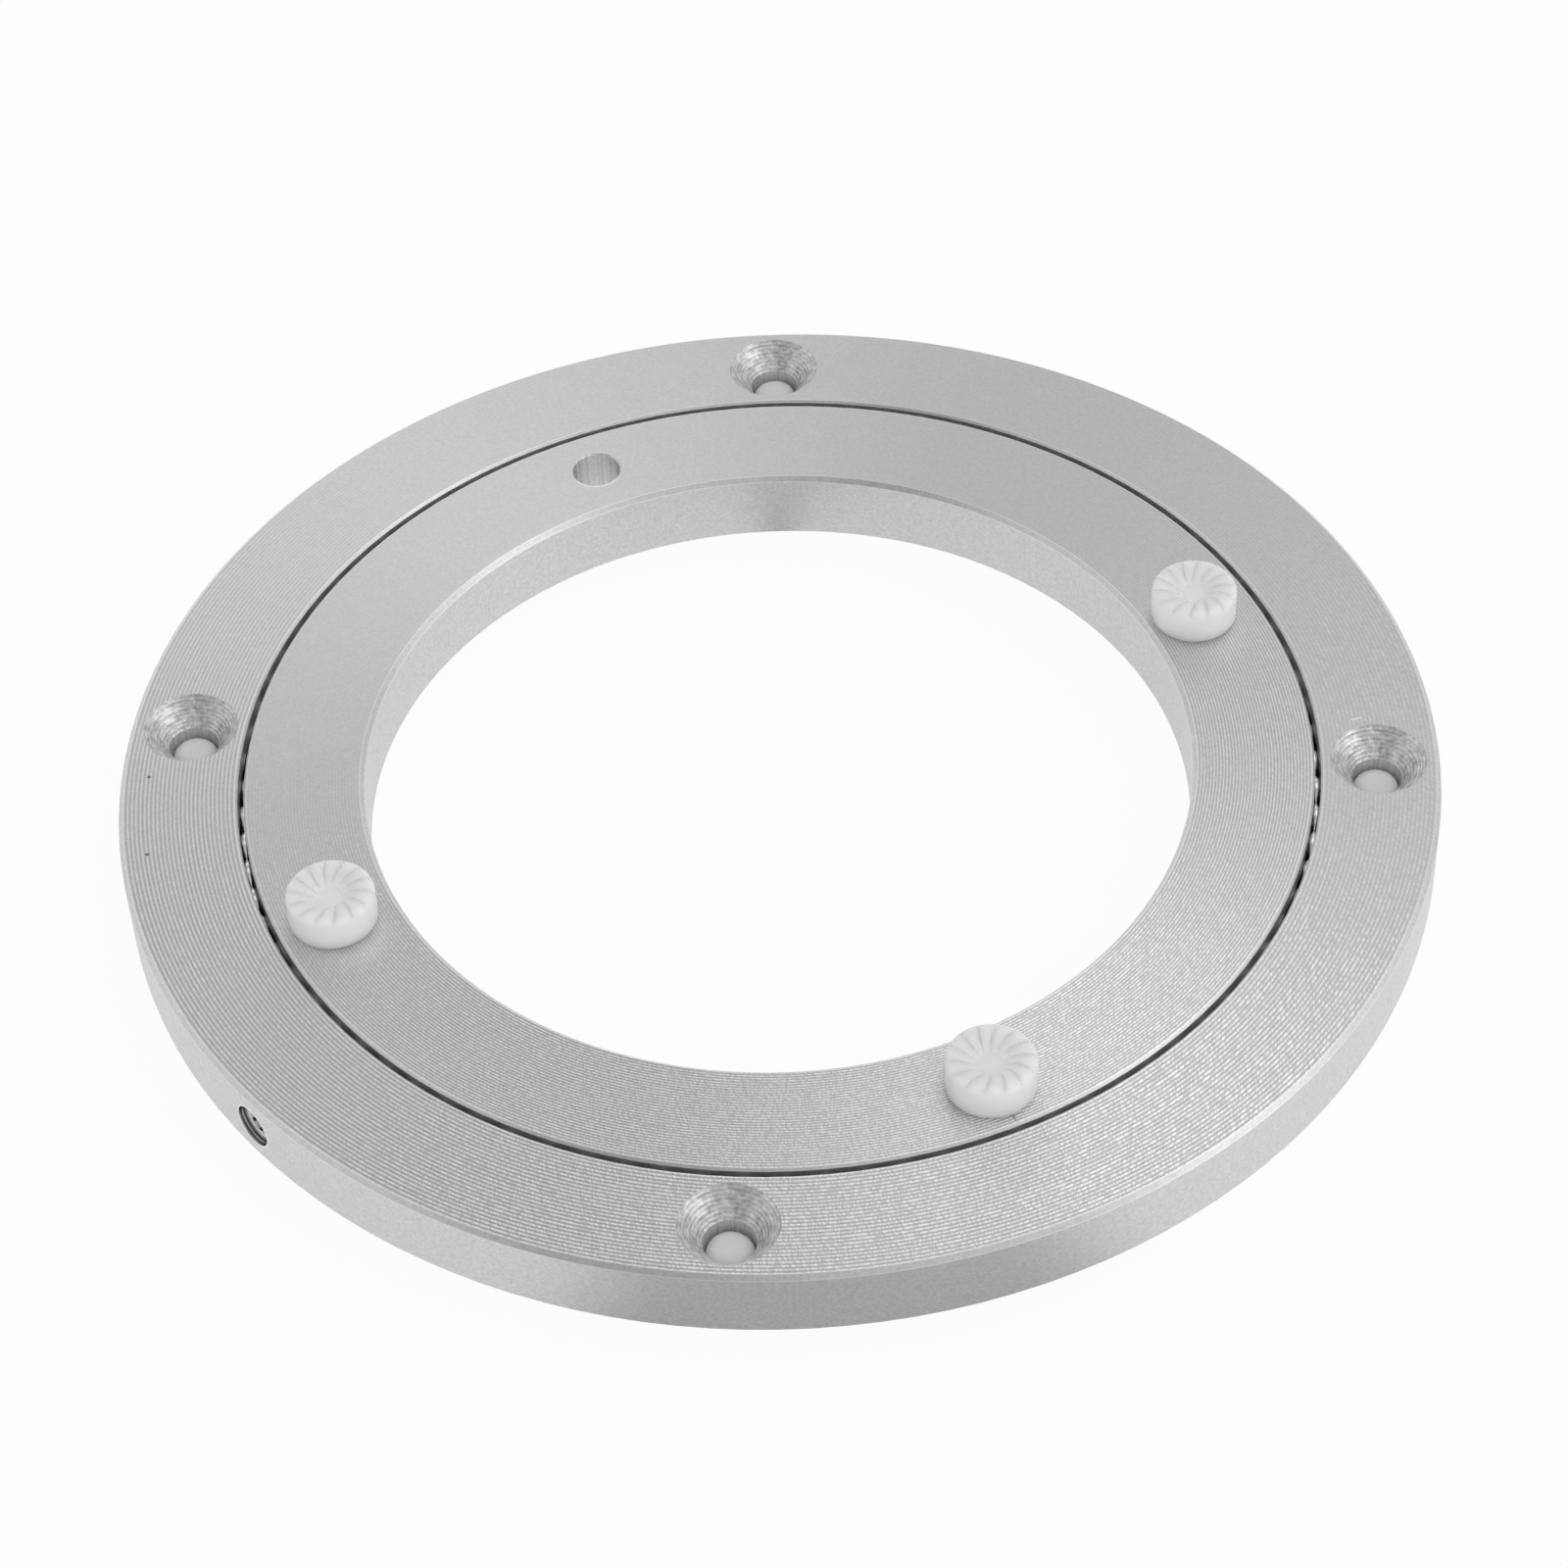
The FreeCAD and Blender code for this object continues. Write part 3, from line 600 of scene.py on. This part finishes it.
def add_flash(name, pad, azimuth, height, reach):
    """A sliver of moulding flash that stands out from a pad's side."""
    low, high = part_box(pad)
    outward = Vector(direction_of(azimuth))
    sideways = Vector((-outward.y, outward.x, 0.0))
    axis = Vector(((low.x + high.x) / 2, (low.y + high.y) / 2, height))
    root = axis + outward * ((high.x - low.x) / 2 - FLASH_ROOT)
    corners = [
        root - sideways * FLASH_WIDTH / 2,
        root + sideways * FLASH_WIDTH / 2,
        root + Vector((0.0, 0.0, FLASH_DEPTH)),
        root + outward * reach,
    ]
    sides = [(0, 2, 1), (0, 1, 3), (1, 2, 3), (2, 0, 3)]
    mesh = bpy.data.meshes.new(name)
    mesh.from_pydata([tuple(corner) for corner in corners], [], sides)
    sliver = bpy.data.objects.new(name, mesh)
    bpy.context.scene.collection.objects.link(sliver)
    mesh.materials.append(bpy.data.materials["white_plastic_moulded"])
    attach(sliver, "turning_ring")


def add_flashes():
    add_flash("flash_front", "top_pad_front", azimuth=-66, height=RING_TOP + 0.05 * MM, reach=1.2 * MM)
    add_flash("flash_left", "top_pad_left", azimuth=0, height=RING_TOP + 3.2 * MM, reach=0.9 * MM)


def add_world():
    """A pale studio: a soft dome with broad soft boxes in it, white at the horizon."""
    world = bpy.data.worlds.new("studio")
    bpy.context.scene.world = world
    world.use_nodes = True
    g = Graph(world.node_tree)
    direction = g.add("ShaderNodeTexCoord").outputs["Generated"]
    x, y, z = g.split(direction)
    far_back = g.step(y, 0.58, 0.9, 0.0, DOME_FAR_BACK)
    to_side = g.step(x, -0.35, 0.35, -DOME_SIDE, DOME_SIDE)
    strength = g.sum(g.step(y, -0.8, 0.5, DOME_FRONT, DOME_BACK), far_back, to_side)
    for box in SOFT_BOXES:
        nearness = g.vector("DOT_PRODUCT", direction, direction_of(box["azimuth"], box["elevation"]))
        gone = math.cos(math.radians(box["gone"]))
        full = math.cos(math.radians(box["full"]))
        strength = g.sum(strength, g.step(nearness, gone, full, 0.0, box["gain"]))

    horizon = g.step(z, *HORIZON, 1.0, 0.0)
    direct, mirrored = ray_kinds(g)
    strength = g.blend(g.product(g.math("MAXIMUM", direct, mirrored), horizon), strength, 1.0)
    background = g.feed(g.add("ShaderNodeBackground"), {"Color": WHITE, "Strength": strength})
    output = g.add("ShaderNodeOutputWorld")
    g.tree.links.new(background.outputs[0], output.inputs["Surface"])


def add_lamp(name, azimuth, elevation, size, power, in_reflections=True):
    """A square soft lamp one metre away, aimed at the bearing."""
    data = bpy.data.lights.new(name, "AREA")
    data.size = size
    data.energy = power
    lamp = bpy.data.objects.new(name, data)
    bpy.context.scene.collection.objects.link(lamp)
    lamp.location = direction_of(azimuth, elevation)
    lamp.rotation_euler = (-lamp.location).to_track_quat("-Z", "Y").to_euler()
    lamp.visible_glossy = in_reflections


def add_lights():
    add_world()
    add_lamp("lamp_key", azimuth=-20, elevation=30, size=0.42, power=0.42)
    add_lamp("lamp_fill", azimuth=-90, elevation=20, size=0.8, power=2.6, in_reflections=False)


def add_camera():
    """The photograph's viewpoint."""
    data = bpy.data.cameras.new("camera")
    data.lens = LENS
    data.sensor_width = SENSOR_WIDTH
    data.clip_start = CLIP_START
    camera = bpy.data.objects.new("camera", data)
    bpy.context.scene.collection.objects.link(camera)
    turn = Matrix.Rotation(math.radians(90) - CAMERA_ELEVATION, 4, "X")
    turn @= Matrix.Rotation(-CAMERA_YAW, 4, "Y")
    turn @= Matrix.Rotation(CAMERA_PITCH, 4, "X")
    turn @= Matrix.Rotation(CAMERA_ROLL, 4, "Z")
    height = CAMERA_DISTANCE * math.sin(CAMERA_ELEVATION) + CAMERA_TARGET_HEIGHT
    back = CAMERA_DISTANCE * math.cos(CAMERA_ELEVATION)
    camera.matrix_world = Matrix.Translation((0.0, -back, height)) @ turn
    bpy.context.scene.camera = camera


bpy.context.scene.view_settings.view_transform = "Standard"
paint_nodes()
add_flashes()
add_floor()
add_lights()
add_camera()
